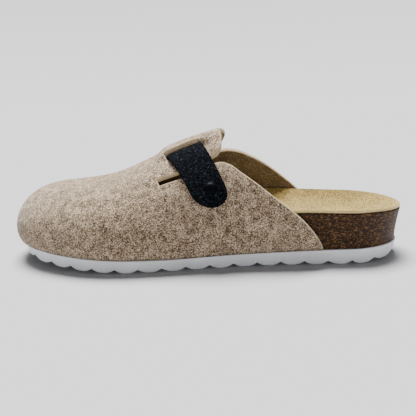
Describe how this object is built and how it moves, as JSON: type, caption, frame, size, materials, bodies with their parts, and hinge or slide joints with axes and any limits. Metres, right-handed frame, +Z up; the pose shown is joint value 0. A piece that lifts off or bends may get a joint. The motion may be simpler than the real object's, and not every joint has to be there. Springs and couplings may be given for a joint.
{
  "type": "felt clog slipper",
  "caption": "Left felt clog slipper with a dark felt strap under its tongue, snapped to both wings, on a cork footbed and a scalloped light sole.",
  "frame": {"origin": "the floor, under the middle of the whole slipper's bounding box", "axes": "+X from the toe to the heel, +Y from the foot's outer side to its inner side, +Z up"},
  "size_m": [0.2702, 0.1036, 0.0869],
  "materials": {
    "eva": "matt moulded foam, light",
    "cork": "ground cork, varnished, dark",
    "suede": "split leather, napped, tan",
    "felt": "wool felt, mottled beige",
    "strap_felt": "wool felt, anthracite",
    "snap": "dark, half gloss"
  },
  "bodies": {
    "root": {"outsole": "eva", "cork_footbed": "cork", "insole": "suede", "upper": "felt", "strap": "strap_felt", "snap_cap_lateral": "snap", "snap_stud_lateral": "snap", "snap_cap_medial": "snap", "snap_stud_medial": "snap"}
  },
  "joints": []
}
